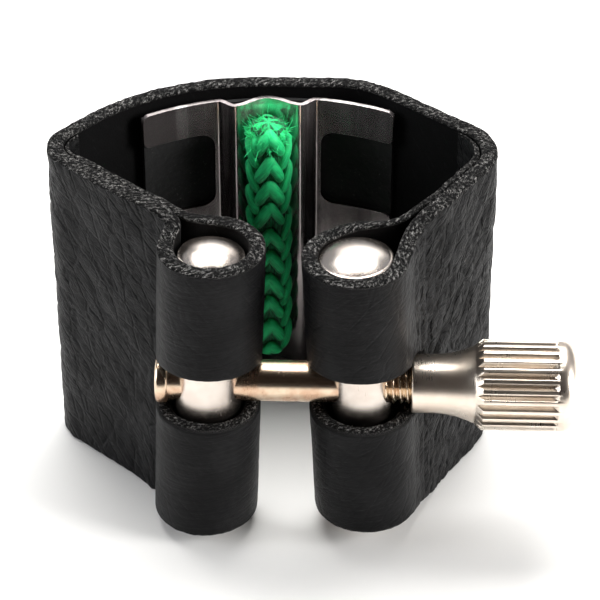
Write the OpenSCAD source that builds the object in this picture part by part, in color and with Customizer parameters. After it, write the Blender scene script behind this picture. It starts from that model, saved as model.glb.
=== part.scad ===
// Saxophone ligature: a leather strap bent round two steel posts, closed by a headed
// bolt and a knurled thumb nut, with a sprung reed plate that holds a braided cord.
// The origin is on the axis of the mouthpiece opening, on the strap's lower edge.
// +Z runs along the mouthpiece, +X along the bolt towards the thumb nut, -Y to the posts.

/* [Strap] */
// Width of the leather strap, which is the height of the standing band
strap_h = 30; // [26:1:34]
// Thickness of the leather
leather_t = 1.5; // [1.2:0.1:1.7]
// Thickness of the skived flap glued back along each front wall
flap_t = 0.7; // [0.4:0.1:0.9]
// Outer radius of the loop that each strap end makes round its post
loop_r = 4.45; // [4.2:0.05:4.7]
// Height of the left loop
left_loop_h = 27.4; // [24:0.2:28]
// Height of the right loop
right_loop_h = 25.9; // [24:0.1:28]
// Height of the bolt slot at the front of each loop
slot_h = 5; // [4:0.1:6]
// Distance that the bolt slot's middle lies above the bolt's axis, at the front
slot_rise = 0.4; // [0:0.1:0.8]

/* [Posts] */
// Distance between the two post axes, along the bolt
post_pitch = 12.8; // [12:0.1:14]
// Diameter of the left post
left_post_d = 5.6; // [5:0.1:5.8]
// Diameter of the right post's two ends
right_post_d = 6.2; // [5.6:0.1:6.2]
// Diameter of the right post's waist, where the bolt crosses it
waist_d = 5.1; // [4.6:0.1:5.4]
// Height of the right post's waist
waist_h = 12; // [9:0.5:16]
// Length of each post without its domes
post_h = 25.2; // [23:0.2:26]
// Height of the dome at each end of a post
dome_h = 1; // [0.6:0.1:1.4]
// Lean of the left post's top towards the gap, in degrees
left_lean = 2; // [0:0.1:3]
// Lean of the right post's top towards the gap, in degrees
right_lean = 2.7; // [0:0.1:3]

/* [Clamp bolt] */
// Diameter of the bolt's shank and thread
bolt_d = 3.5; // [3:0.1:3.6]
// Pitch of the bolt's thread
thread_pitch = 0.6; // [0.5:0.05:0.7]
// Diameter of the bolt's head
head_d = 4.1; // [3.9:0.1:4.2]
// Thickness of the bolt's head
head_t = 1.1; // [0.8:0.1:1.4]
// Length of the bolt under its head
bolt_len = 28.8; // [28:0.2:29.4]
// Length of the threaded end
thread_len = 14.4; // [12:0.1:16]
// Radial clearance of the bolt in each post's hole and in the nut
bolt_gap = 0.05; // [0.03:0.01:0.1]

/* [Thumb nut] */
// Length of the thumb nut
nut_len = 13.8; // [13.4:0.1:14.5]
// Diameter of the nut's neck
neck_d = 4.96; // [4.6:0.02:5]
// Diameter of the knurled grip over its ridges
grip_d = 7.65; // [7:0.05:7.8]
// Length of the knurled grip
grip_len = 6.7; // [5:0.1:7.2]
// Number of ridges round the grip
ridges = 26; // [20:1:32]
// Depth of the grooves between the ridges
ridge_depth = 0.42; // [0.2:0.02:0.5]

/* [Reed plate] */
// Thickness of the sheet metal
plate_t = 0.4; // [0.3:0.05:0.5]
// Radius that the wings are bent to, on the side that faces the reed
plate_r = 21.1; // [20.9:0.1:21.2]
// Height of the reed plate
plate_h = 28.2; // [26:0.2:28.4]
// Half of the angle that the wings span
wing_angle = 31; // [26:1:31]
// Height of each wing
wing_h = 3.4; // [3:0.1:4]
// Distance between one row of wings and the next
wing_pitch = 10.7; // [10:0.1:11]
// Distance between the crests of the two ridges that cradle the cord
ridge_pitch = 6; // [5.8:0.1:6.2]
// Height of the two ridges
ridge_h = 1.1; // [0.9:0.1:1.2]
// Thickness of the suede backing behind the wings
backing_t = 0.5; // [0.3:0.05:0.5]

/* [Cord] */
// Diameter of the braided cord
cord_d = 4.2; // [4:0.1:4.2]
// Diameter of the straight yarns inside the braid
core_d = 2.4; // [2:0.1:3]
// Length of the cord
cord_len = 24.6; // [22:0.2:26]

/* [Hidden] */
$fn = 64;
eps = 0.01;

// The bolt's axis: its middle along X, its distance in front of the origin, its height
clamp_x = 1.9;
clamp_y = -12;
bolt_z = strap_h / 2;
left_x = clamp_x - post_pitch / 2;
right_x = clamp_x + post_pitch / 2;
bolt_hole_d = bolt_d + 2 * bolt_gap;

// The strap's outer face in plan, clockwise from the left loop: the corners where its
// straight runs would meet, and the radius that rounds each one
left_end = [-7.84, -10.41];
right_end = [15.06, -7.8];
corners = [left_end, [-20.3, 0.5], [-10.15, 12.45], [8.4, 12.85], [21.2, 2.15], right_end];
corner_r = [3.7, 20, 9, 5.2];
arc_step = 6;

// The right loop's tail, which stops short of the strap's right end so that it can move
tail_gap = 1.1;
tail_root = [9.4, -7.7];
tail_heel = [12.6, -12.3];

// Places along the bolt
head_x = left_x - 3.4;
nut_x = right_x + 4.22;
seat_gap = 0.07;
seat_r = neck_d / 2 + 0.12;
nut_bore_len = 11.6;
grip_x = nut_len - grip_len - 1.45;

// The reed plate: its bending axis in plan, its turn about that axis and its lowest point
plate_c = [1, -10.9];
plate_turn = 3.8;
plate_z = 1;
top_wing_z = 27.5;
wing_rows = 3;
web_w = 9.4;
ridge_w = 1.3;
ridge_steps = 12;
wing_step = 2;
cradle_y = plate_r - cord_d / 2 - 0.12;
cord_z = 3.7;

function unit(v) = v / norm(v);
function inward(a, b) = let (u = unit(b - a)) [u[1], -u[0]];
function reversed(v) = [for (i = [len(v) - 1:-1:0]) v[i]];

// The corner b between a and c, moved inwards by d
function inset(a, b, c, d) =
    let (m = inward(a, b), n = inward(b, c)) b + d * (m + n) / (1 + m * n);

// The arc of radius r at the corner b, where a clockwise line turns from u to v
function rounded(b, u, v, r) =
    let (turn = acos(u * v), n = [u[1], -u[0]], centre = b - u * r * tan(turn / 2) + n * r,
         steps = ceil(turn / arc_step))
    [for (i = [0:steps]) let (g = turn * i / steps) centre - n * r * cos(g) + u * r * sin(g)];

// The strap's plan line at depth d under its outer face, from corner first to corner last
function strap_line(d, first, last) =
    let (c = corners, end = len(c) - 1)
    concat(first == 0 ? [c[0] + d * inward(c[0], c[1])] : [],
        [for (i = [max(first, 1):min(last, end - 1)])
            each rounded(inset(c[i - 1], c[i], c[i + 1], d), unit(c[i] - c[i - 1]),
                         unit(c[i + 1] - c[i]), corner_r[i - 1] - d)],
        last == end ? [c[end] + d * inward(c[end - 1], c[end])] : []);

// The strap's inner face in plan: one leather deep, and deeper by the flap along each front wall
function inner_line() =
    let (deep = leather_t + flap_t, end = len(corners) - 1, left = strap_line(leather_t, 1, 1))
    concat(strap_line(deep, 0, 1), [left[len(left) - 1]], strap_line(leather_t, 2, end - 2),
           [strap_line(leather_t, end - 1, end - 1)[0]], strap_line(deep, end - 1, end));

// Puts its children on a post's axis, with the bolt's axis at their own origin
module on_post(x, lean) {
    translate([x, clamp_y, bolt_z])
        rotate([0, lean, 0])
            children();
}

// Lays a shape that is turned about Z along the bolt, with its base at x
module along_bolt(x) {
    translate([x, clamp_y, bolt_z])
        rotate([0, 90, 0])
            children();
}

// The slot that lets the bolt through both sides of a loop and shows the post in front
module loop_slot(x) {
    slot_len = 2 * loop_r + 3;
    translate([x - slot_len / 2, clamp_y, bolt_z])
        rotate([90, 0, 90])
            linear_extrude(slot_len)
                polygon([[0.5, bolt_hole_d / 2 + 0.1],
                         [-loop_r - 1, slot_rise + slot_h / 2 + 0.1],
                         [-loop_r - 1, slot_rise - slot_h / 2 - 0.1],
                         [0.5, -bolt_hole_d / 2 - 0.1]]);
    along_bolt(x - slot_len / 2)
        cylinder(d = bolt_hole_d + 0.3, h = slot_len);
}

// A post with two low domes, before it is drilled
module domed_rod(d) {
    dome_r = (d * d / 4 + dome_h * dome_h) / (2 * dome_h);
    reach = asin(d / 2 / dome_r);
    dome = [for (i = [0:6]) let (g = reach * i / 6)
        [dome_r * sin(g), post_h / 2 + dome_h - dome_r * (1 - cos(g))]];
    rotate_extrude()
        polygon(concat(dome, reversed([for (p = dome) [p[0], -p[1]]])));
}

module strap() {
    color("#1d1d1f")
        difference() {
            union() {
                linear_extrude(strap_h)
                    polygon(concat(strap_line(0, 0, len(corners) - 1), reversed(inner_line())));
                on_post(left_x, left_lean)
                    cylinder(r = loop_r, h = left_loop_h, center = true);
            }
            on_post(left_x, left_lean)
                cylinder(d = left_post_d + 0.5, h = strap_h + 4, center = true);
            loop_slot(left_x);
            along_bolt(head_x - 3)
                cylinder(d = head_d + 0.4, h = 4);
        }
}

module right_loop() {
    run = unit(corners[len(corners) - 1] - corners[len(corners) - 2]);
    outer_tip = right_end + tail_gap * run;
    inner_tip = outer_tip + (leather_t + flap_t) * [run[1], -run[0]];
    color("#1d1d1f")
        difference() {
            union() {
                on_post(right_x, -right_lean)
                    cylinder(r = loop_r, h = right_loop_h, center = true);
                translate([0, 0, bolt_z - right_loop_h / 2 + 0.4])
                    linear_extrude(right_loop_h - 0.8)
                        polygon([outer_tip, tail_heel, [right_x + 3, clamp_y + 1], tail_root, inner_tip]);
            }
            on_post(right_x, -right_lean)
                cylinder(d = right_post_d + 0.1, h = strap_h + 4, center = true);
            loop_slot(right_x);
            along_bolt(nut_x - seat_gap)
                cylinder(r = seat_r, h = 6);
        }
}

module left_post() {
    color("#d9d4cf")
        difference() {
            on_post(left_x, left_lean)
                domed_rod(left_post_d);
            along_bolt(left_x - left_post_d)
                cylinder(d = bolt_hole_d, h = 2 * left_post_d);
        }
}

module right_post() {
    cut_w = right_post_d;
    color("#d9d4cf")
        difference() {
            on_post(right_x, -right_lean)
                difference() {
                    domed_rod(right_post_d);
                    rotate_extrude()
                        polygon([[waist_d / 2, -waist_h / 2], [cut_w, -waist_h / 2 - cut_w + waist_d / 2],
                                 [cut_w, waist_h / 2 + cut_w - waist_d / 2], [waist_d / 2, waist_h / 2]]);
                }
            along_bolt(right_x - right_post_d)
                cylinder(d = bolt_hole_d, h = 2 * right_post_d);
        }
}

// Headed bolt. Its thread is drawn as closed grooves one pitch apart.
module clamp_bolt() {
    groove = 0.3;
    r = bolt_d / 2;
    thread_start = bolt_len - thread_len;
    grooves = floor((thread_len - 1) / thread_pitch);
    color("#c9a58a")
        along_bolt(head_x)
            rotate_extrude()
                polygon(concat(
                    [[0, -head_t], [1.1, -head_t + 0.08], [head_d / 2 - 0.3, -head_t + 0.3],
                     [head_d / 2, -head_t + 0.6], [head_d / 2, -0.15], [head_d / 2 - 0.15, 0],
                     [r, 0], [r, thread_start]],
                    [for (i = [0:grooves - 1]) let (z = thread_start + i * thread_pitch)
                        each [[r, z + 0.1], [r - groove, z + thread_pitch / 2], [r, z + thread_pitch - 0.1]]],
                    [[r, bolt_len - 0.5], [r - 0.4, bolt_len], [0, bolt_len]]));
}

module thumb_nut() {
    end_r = 1.9;
    root_r = grip_d / 2 - ridge_depth;
    flare = [for (i = [0:8]) let (s = i / 8)
        [neck_d / 2 + (root_r - neck_d / 2) * s * s, 1.6 + (grip_x - 1.6) * s]];
    end_curve = [for (i = [0:6]) let (g = 15 * i)
        [end_r + (root_r - end_r + 0.15) * cos(g), nut_len - 1.45 + 1.45 * sin(g)]];
    color("#d8c4ae")
        along_bolt(nut_x)
            difference() {
                union() {
                    rotate_extrude()
                        polygon(concat([[0, 0], [neck_d / 2 - 0.1, 0], [neck_d / 2, 0.1]],
                                       flare, end_curve, [[0, nut_len]]));
                    intersection() {
                        translate([0, 0, grip_x - 0.3])
                            linear_extrude(grip_len + 0.6)
                                polygon([for (i = [0:2 * ridges - 1]) let (g = 180 * i / ridges)
                                    (i % 2 == 0 ? grip_d / 2 : root_r) * [cos(g), sin(g)]]);
                        rotate_extrude()
                            polygon([[0, grip_x - 0.3], [root_r - 0.3, grip_x - 0.3],
                                     [grip_d / 2, grip_x - 0.3 + ridge_depth + 0.3],
                                     [grip_d / 2, grip_x + grip_len + 0.3 - ridge_depth - 0.3],
                                     [root_r - 0.3, grip_x + grip_len + 0.3], [0, grip_x + grip_len + 0.3]]);
                    }
                }
                translate([0, 0, -eps])
                    cylinder(d = bolt_hole_d, h = nut_bore_len + eps);
            }
}

// Height of the cord ridges above the wings' arc, at the distance u from the plate's middle
function ridge(u) = let (a = abs(u), c = ridge_pitch / 2, w = ridge_w)
    a > c + w ? 0 :
    a > c ? ridge_h * (1 + cos(180 * (a - c) / w)) / 2 :
    ridge_h * (1 - cos(180 * a / c)) / 2;

// A line across the plate at depth d behind its reed side
function plate_line(d) =
    [for (g = [-wing_angle:wing_step:wing_angle + eps]) let (u = plate_r * sin(g))
        each abs(u) < ridge_pitch
            ? [for (k = [0:3]) let (h = g + wing_step * k / 4, s = plate_r * sin(h))
                (plate_r + d - ridge(s)) * [sin(h), cos(h)]]
            : [(plate_r + d) * [sin(g), cos(g)]]];

module on_plate() {
    translate([plate_c[0], plate_c[1], plate_z])
        rotate([0, 0, plate_turn])
            children();
}

module reed_plate() {
    window_h = wing_pitch - wing_h;
    corner = 1.2;
    color("#cfc8c4")
        on_plate()
            difference() {
                linear_extrude(plate_h)
                    polygon(concat(plate_line(0), reversed(plate_line(plate_t))));
                for (side = [-1, 1])
                    for (row = [0:wing_rows - 1]) {
                        top = top_wing_z - plate_z - row * wing_pitch - wing_h / 2;
                        low = row == wing_rows - 1 ? -corner - 1 : top - window_h;
                        x0 = web_w / 2;
                        translate([side * (x0 + 10), plate_r + 4, (top + low) / 2])
                            rotate([90, 0, 0])
                                linear_extrude(20)
                                    union() {
                                        square([20, top - low - 2 * corner], center = true);
                                        square([20 - 2 * corner, top - low], center = true);
                                        for (sx = [-1, 1], sy = [-1, 1])
                                            translate([sx * (10 - corner), sy * ((top - low) / 2 - corner)])
                                                circle(corner);
                                    }
                    }
            }
}

module plate_backing() {
    clear = 0.02;
    line_in = [for (g = [-wing_angle:wing_step:wing_angle]) [sin(g), cos(g)] * (plate_r + plate_t + clear)];
    line_out = [for (g = [-wing_angle:wing_step:wing_angle]) [sin(g), cos(g)] * (plate_r + plate_t + backing_t)];
    color("#141414")
        on_plate()
            linear_extrude(plate_h)
                polygon(concat(line_in, reversed(line_out)));
}

module cord_sheath() {
    color("#0f8a3c")
        on_plate()
            translate([0, cradle_y, cord_z - plate_z])
                difference() {
                    cylinder(d = cord_d, h = cord_len);
                    translate([0, 0, -1])
                        cylinder(d = core_d, h = cord_len + 2);
                }
}

module cord_core() {
    color("#0c7a34")
        on_plate()
            translate([0, cradle_y, cord_z - plate_z + 0.2])
                cylinder(d = core_d, h = cord_len - 0.4);
}

strap();
right_loop();
left_post();
right_post();
clamp_bolt();
thumb_nut();
reed_plate();
plate_backing();
cord_sheath();
cord_core();
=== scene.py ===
"""Looks of a saxophone ligature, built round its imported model.

Sizes are in millimetres until a mesh is written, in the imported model's frame: the origin is on
the axis of the mouthpiece opening in the plane of the strap's lower edge, +Z runs along the
mouthpiece, +X along the clamp bolt towards the thumb nut, and -Y towards the two posts.
"""

import logging
import math
from dataclasses import dataclass, field
from enum import Enum
from typing import Any, Sequence, Union

import bpy
import numpy as np
from mathutils import Matrix, Vector

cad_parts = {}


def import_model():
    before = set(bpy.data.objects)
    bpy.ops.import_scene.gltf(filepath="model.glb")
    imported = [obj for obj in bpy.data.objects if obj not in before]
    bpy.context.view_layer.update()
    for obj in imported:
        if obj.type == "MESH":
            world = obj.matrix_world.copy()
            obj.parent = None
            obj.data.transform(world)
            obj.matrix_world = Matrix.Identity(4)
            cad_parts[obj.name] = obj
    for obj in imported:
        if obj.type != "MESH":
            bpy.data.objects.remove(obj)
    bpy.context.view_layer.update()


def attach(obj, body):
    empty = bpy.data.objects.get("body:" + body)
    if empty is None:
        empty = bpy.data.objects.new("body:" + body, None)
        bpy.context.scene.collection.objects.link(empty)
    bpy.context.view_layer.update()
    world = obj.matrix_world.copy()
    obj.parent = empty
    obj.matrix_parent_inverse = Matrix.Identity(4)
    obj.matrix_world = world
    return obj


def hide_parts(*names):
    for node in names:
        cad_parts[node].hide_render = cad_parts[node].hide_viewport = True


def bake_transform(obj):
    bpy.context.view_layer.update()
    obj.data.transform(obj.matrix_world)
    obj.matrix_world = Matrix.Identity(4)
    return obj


Array = np.ndarray
Colour = tuple[float, float, float]
Number = Union["Value", float]
log = logging.getLogger("ligature")

MM = 0.001
WELD_STEP = 2e-7
BOLT_Y = -12.0
BOLT_Z = 15.0
LEFT_X = -4.5
RIGHT_X = 8.3
LEFT_LEAN = 2.0
RIGHT_LEAN = -2.7


class Body(str, Enum):
    """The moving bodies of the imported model."""

    ROOT = "root"
    RIGHT_CLAMP = "right_clamp"
    THUMB_NUT = "thumb_nut"


# ---------------------------------------------------------------- shader graph


class Value:
    """A shader socket that adds, subtracts, multiplies and takes powers like a number."""

    def __init__(self, graph: "Graph", socket: bpy.types.NodeSocket) -> None:
        """Keeps the graph and its socket."""
        self.graph = graph
        self.socket = socket

    def __add__(self, other: Number) -> "Value":
        """self + other."""
        return self.graph.math("ADD", self, other)

    def __sub__(self, other: Number) -> "Value":
        """self - other."""
        return self.graph.math("SUBTRACT", self, other)

    def __rsub__(self, other: Number) -> "Value":
        """other - self."""
        return self.graph.math("SUBTRACT", other, self)

    def __mul__(self, other: Number) -> "Value":
        """self * other."""
        return self.graph.math("MULTIPLY", self, other)

    def __pow__(self, other: Number) -> "Value":
        """self ** other."""
        return self.graph.math("POWER", self, other)

    __radd__ = __add__
    __rmul__ = __mul__


class Graph:
    """The node graph of one material or of the room."""

    def __init__(self, owner: bpy.types.Material | bpy.types.World) -> None:
        """Empties the owner's graph.

        Args:
            owner: the material or world.
        """
        owner.use_nodes = True
        self.owner = owner
        self.tree = owner.node_tree
        self.tree.nodes.clear()

    @classmethod
    def material(cls, name: str) -> "Graph":
        """The graph of a new material."""
        return cls(bpy.data.materials.new(name))

    def node(self, kind: str, settings: dict[str, Any] | None = None,
             inputs: dict[str | int, Any] | None = None) -> bpy.types.Node:
        """Adds one node.

        Args:
            kind: the node's type, without its ShaderNode prefix.
            settings: the node's own settings, such as a Math node's operation, set first.
            inputs: the value or link of each input socket, by name or number.

        Returns:
            The node.
        """
        made = self.tree.nodes.new("ShaderNode" + kind)
        for name, value in (settings or {}).items():
            setattr(made, name, value)
        for key, value in (inputs or {}).items():
            if isinstance(value, Value):
                self.tree.links.new(value.socket, made.inputs[key])
            else:
                made.inputs[key].default_value = value
        return made

    def value(self, node: bpy.types.Node, output: str | int = 0) -> Value:
        """One output of a node, as a value."""
        return Value(self, node.outputs[output])

    def math(self, operation: str, *terms: Number) -> Value:
        """A Math node on one to three terms."""
        return self.value(self.node("Math", {"operation": operation}, dict(enumerate(terms))))

    def place(self) -> Value:
        """The point's place in the model's frame, in metres."""
        return self.value(self.node("TexCoord"), "Object")

    def strip_uv(self) -> Value:
        """The place on the piece's own UV map, in millimetres."""
        return self.value(self.node("UVMap", {"uv_map": "strip"}))

    def carried(self, name: str) -> Value:
        """A value carried by the mesh's points."""
        return self.value(self.node("Attribute", {"attribute_name": name}), "Fac")

    def stretched(self, vector: Value, factors: Colour, turn: float = 0.0) -> Value:
        """A vector turned about Z by an angle in degrees, then scaled along each axis."""
        turned = self.value(self.node("VectorRotate", {"rotation_type": "Z_AXIS"},
                                      {"Vector": vector, "Angle": math.radians(turn)}))
        return self.value(self.node("VectorMath", {"operation": "MULTIPLY"}, {0: turned, 1: factors}))

    def noise(self, vector: Value, size: float, detail: float = 3.0, rough: float = 0.55) -> Value:
        """Noise from 0 to 1 whose largest features are about size across."""
        return self.value(self.node("TexNoise", None, {
            "Vector": vector, "Scale": 1.0 / size, "Detail": detail, "Roughness": rough}))

    def cells(self, vector: Value, size: float, feature: str = "F1") -> Value:
        """The distance to the nearest cell point or cell edge, in cells."""
        return self.value(self.node("TexVoronoi", {"feature": feature},
                                    {"Vector": vector, "Scale": 1.0 / size}), "Distance")

    def fade(self, value: Value, low: float, high: float, first: float = 0.0, last: float = 1.0) -> Value:
        """A smooth step from first at low to last at high."""
        return self.value(self.node("MapRange", {"interpolation_type": "SMOOTHSTEP", "clamp": True}, {
            0: value, 1: low, 2: high, 3: first, 4: last}))

    def mixed(self, factor: Number, first: Any, last: Any) -> Value:
        """A colour between two colours or colour links."""
        ends = [end if isinstance(end, Value) else (*end, 1.0) for end in (first, last)]
        return self.value(self.node("Mix", {"data_type": "RGBA"},
                                    {0: factor, 6: ends[0], 7: ends[1]}), 2)

    def bump(self, height: Value, depth: float, strength: float = 1.0) -> Value:
        """A surface normal tilted by a height field.

        Args:
            height: the height, in units of depth.
            depth: the height of 1, in metres.
            strength: how much of it shows.

        Returns:
            The normal.
        """
        return self.value(self.node("Bump", None, {
            "Strength": strength, "Distance": depth, "Height": height}))

    def surface(self, **sockets: Any) -> bpy.types.Material:
        """Ends the graph in one Principled surface.

        Args:
            sockets: its values and links; an underscore stands for a space.

        Returns:
            The material.
        """
        inputs = {name.replace("_", " "): (*value, 1.0) if isinstance(value, tuple) and len(value) == 3
                  else value for name, value in sockets.items()}
        shader = self.node("BsdfPrincipled", None, inputs)
        self.node("OutputMaterial", None, {"Surface": self.value(shader)})
        return self.owner


# ---------------------------------------------------------------- finishes


def shaded(colour: Colour, share: float) -> Colour:
    """A colour darkened to a share of itself."""
    return tuple(c * share for c in colour)


@dataclass(frozen=True)
class LeatherFinish:
    """Black pebbled leather with grey fibrous cut edges and a matt flesh side.

    Attributes:
        grain: the outer face.
        grain_worn: the outer face where it is rubbed.
        flesh: the inner face.
        flesh_scratch: the scratches on the inner face.
        fibre_dark: the cut edges between their fibres.
        fibre_light: the fibres' ends on the cut edges.
        cell: the length of a large grain cell, in millimetres.
        crease_depth: the height of 1 in the grain's bump, in metres.
        left_slant: the grain's slant on the left half, in degrees.
        right_slant: the grain's slant on the right half, in degrees.
        right_gain: how much deeper the grain is on the right half.
    """

    grain: Colour = (0.0036, 0.0036, 0.004)
    grain_worn: Colour = (0.0115, 0.0115, 0.0122)
    flesh: Colour = (0.0028, 0.0028, 0.003)
    flesh_scratch: Colour = (0.022, 0.022, 0.023)
    fibre_dark: Colour = (0.0035, 0.0035, 0.0037)
    fibre_light: Colour = (0.42, 0.41, 0.40)
    cell: float = 1.5
    crease_depth: float = 0.00007
    left_slant: float = -52.0
    right_slant: float = 55.0
    right_gain: float = 2.1

    def pebbles(self, g: Graph, uv: Value, turn: float) -> Value:
        """Two sizes of cell, drawn out along a slant, with low borders."""
        border = g.cells(g.stretched(uv, (0.5, 1.15, 1.0), turn), self.cell, "DISTANCE_TO_EDGE")
        small = g.cells(g.stretched(uv, (0.6, 1.3, 1.0), turn * 0.6), self.cell * 0.4, "DISTANCE_TO_EDGE")
        return g.fade(border, 0.0, 0.1) * 1.1 + g.fade(small, 0.0, 0.16) * 0.45

    def material(self) -> bpy.types.Material:
        """The leather: slanted cells on the grain side, stretched flat into fine lines on the loops."""
        g = Graph.material("leather")
        uv = g.strip_uv()
        smooth, edge, inner, right = (g.carried(name) for name in ("smooth", "edge", "inner", "right"))
        pebble = self.pebbles(g, uv, self.left_slant) * (1.0 - right) ** 0.5 \
            + self.pebbles(g, uv, self.right_slant) * right ** 0.5 * self.right_gain
        fine = g.noise(uv, 0.16, 4.0, 0.65)
        lines = g.noise(g.stretched(uv, (0.3, 3.2, 1.0), 6.0), 0.9, 4.0, 0.6)
        patch = g.noise(uv, 4.0, 3.0)
        grain_height = pebble * (1.0 - smooth * 0.85) + fine * 0.42 + lines * smooth * 0.9
        fibres = g.noise(g.stretched(uv, (1.0, 1.5, 1.0), 40.0), 0.38, 5.0, 0.85)
        tufts = g.noise(uv, 1.3, 3.0, 0.6)
        scratches = g.noise(g.stretched(uv, (2.2, 0.25, 1.0), 35.0), 0.7, 4.0, 0.7)
        worn = g.fade(g.noise(uv, 0.5, 4.0, 0.7) * 0.45 + patch * 0.55, 0.4, 0.66)
        face = g.mixed(worn * (1.0 - smooth * 0.4), self.grain, self.grain_worn)
        flesh = g.mixed(g.fade(scratches, 0.56, 0.8) * 0.5, self.flesh, self.flesh_scratch)
        speckle = g.fade(fibres, 0.5, 0.66) * g.fade(tufts, 0.34, 0.62, 0.2, 1.0)
        cut = g.mixed(speckle, self.fibre_dark, self.fibre_light)
        colour = g.mixed(edge, g.mixed(inner, face, flesh), cut)
        shine = 0.47 - worn * 0.07 - smooth * 0.03 + fine * 0.1
        rough = shine * (1.0 - edge) * (1.0 - inner) + edge * 0.95 + inner * (1.0 - edge) * 0.85
        height = (grain_height * (1.0 - inner) + fine * inner * 1.1) * (1.0 - edge) + fibres * edge * 3.6
        return g.surface(Base_Color=colour, Roughness=rough, Normal=g.bump(height, self.crease_depth, 0.95),
                         Specular_IOR_Level=0.1)


@dataclass(frozen=True)
class MetalFinish:
    """Plated metal with turning marks, fine scratches and a slightly uneven polish.

    Attributes:
        name: the material's name.
        colour: the plating.
        tint: the plating where it is smudged.
        roughness: of the clean plating.
        marks_along: how much the turning marks are drawn out along each axis; small is long.
        marks_size: the width of a mark, in millimetres.
        marks_depth: the height of 1 in the marks' bump, in metres.
        smudge_size: the width of a smudge, in millimetres.
        frost: how strong a fine even grain is beside the marks.
        metallic: the metal's share.
        shade_below: the height under which painted shade darkens the plating, in millimetres, or 0 for
            nowhere.
        shade_reach: over how many millimetres the painted shade grows.
        shade_most: how dark the painted shade is at the bottom.
        streak_share: how strong the darker upright streaks in the painted shade are.
        spot_share: how strong the small dark spots are.
    """

    name: str
    colour: Colour
    tint: Colour
    roughness: float
    marks_along: Colour
    marks_size: float = 0.05
    marks_depth: float = 0.0000012
    smudge_size: float = 2.2
    frost: float = 0.0
    metallic: float = 1.0
    shade_below: float = 0.0
    shade_reach: float = 14.0
    shade_most: float = 0.72
    streak_share: float = 0.75
    spot_share: float = 0.15

    def material(self) -> bpy.types.Material:
        """The metal: marks are noise drawn out along one axis, smudges change colour and gloss."""
        g = Graph.material(self.name)
        place = g.place()
        smudge = g.noise(place, self.smudge_size * MM, 3.0, 0.6)
        marks = g.noise(g.stretched(place, self.marks_along), self.marks_size * MM, 3.0, 0.6)
        strokes = g.noise(g.stretched(place, (1.0, 0.35, 0.12), 27.0), 0.16 * MM, 2.0, 0.5)
        scratch = g.fade(strokes, 0.68, 0.8)
        spots = g.fade(g.cells(place, 0.55 * MM), 0.0, 0.09, 1.0, 0.0)
        colour = g.mixed(g.fade(smudge, 0.38, 0.66), self.colour, self.tint)
        colour = g.mixed(spots * self.spot_share, colour, shaded(self.tint, 0.45))
        # Painted shade: towards the bottom the colour darkens, a dark reflection of the shaded floor painted
        # into the plating, with darker upright streaks in it.
        if self.shade_below > 0.0:
            level = g.value(g.node("SeparateXYZ", None, {"Vector": place}), "Z")
            streak = g.noise(g.stretched(place, (1.0, 1.0, 0.03)), 2.4 * MM, 3.0, 0.6)
            bottom = self.shade_below - self.shade_reach
            painted_shade = g.fade(level, bottom * MM, self.shade_below * MM, self.shade_most, 0.0)
            streaks = g.fade(streak, 0.42, 0.56) * self.streak_share
            colour = g.mixed(streaks, colour, shaded(self.tint, 0.5))
            colour = g.mixed(painted_shade, colour, shaded(self.tint, 0.28))
        rough = self.roughness + g.fade(smudge, 0.35, 0.75) * 0.06 + marks * 0.05 + scratch * 0.1
        frost = g.noise(place, 0.09 * MM, 3.0, 0.6) * self.frost
        return g.surface(Base_Color=colour, Metallic=self.metallic, Roughness=rough,
                         Normal=g.bump(marks + scratch * 0.6 + frost, self.marks_depth, 1.0))


@dataclass(frozen=True)
class SuedeFinish:
    """Black suede: a deep nap with pale fibre ends."""

    base: Colour = (0.02, 0.02, 0.0205)
    speck: Colour = (0.2, 0.2, 0.2)

    def material(self) -> bpy.types.Material:
        """The suede: specks where two scales of noise both peak."""
        g = Graph.material("suede")
        place = g.place()
        nap = g.noise(place, 0.35 * MM, 5.0, 0.75)
        ends = g.fade(g.noise(place, 0.28 * MM, 4.0, 0.8), 0.6, 0.74)
        specks = ends * g.fade(g.noise(place, 2.6 * MM), 0.35, 0.65)
        return g.surface(Base_Color=g.mixed(specks, self.base, self.speck),
                         Roughness=0.85 + nap * 0.12, Sheen_Weight=0.12, Sheen_Roughness=0.5,
                         Specular_IOR_Level=0.12, Normal=g.bump(nap, 0.00012, 0.9))


@dataclass(frozen=True)
class YarnFinish:
    """Glossy green filament yarn, with its filaments drawn along each strand."""

    name: str = "green yarn"
    # light and dark are the lit and the shaded yarn, mixed by the carried depth as painted light and shade.
    light: Colour = (0.026, 0.9, 0.29)
    dark: Colour = (0.0008, 0.05, 0.015)

    def material(self) -> bpy.types.Material:
        """The yarn: thin filaments lie along the strand, and the carried depth paints shade into the valleys
        and light on the raised strands.
        """
        g = Graph.material(self.name)
        uv, depth = g.strip_uv(), g.carried("depth")
        filaments = g.noise(g.stretched(uv, (0.35, 5.0, 1.0)), 0.5, 4.0, 0.6)
        fray = g.noise(g.stretched(uv, (0.8, 2.2, 1.0), 8.0), 0.7, 3.0, 0.6)
        # The carried depth is painted light and shade; the filament and fray noise add the yarn's own
        # streaks.
        lit = depth * 0.9 + g.fade(filaments, 0.3, 0.7) * 0.3 + g.fade(fray, 0.35, 0.7) * 0.18 - 0.22
        return g.surface(Base_Color=g.mixed(g.fade(lit, 0.0, 1.0), self.dark, self.light),
                         Roughness=0.55 - g.fade(fray, 0.4, 0.7) * 0.14 + filaments * 0.08,
                         Sheen_Weight=0.12, Sheen_Roughness=0.35, Specular_IOR_Level=0.35,
                         Normal=g.bump(filaments * 0.7 + fray * 0.3, 0.00013, 1.0))


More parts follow.
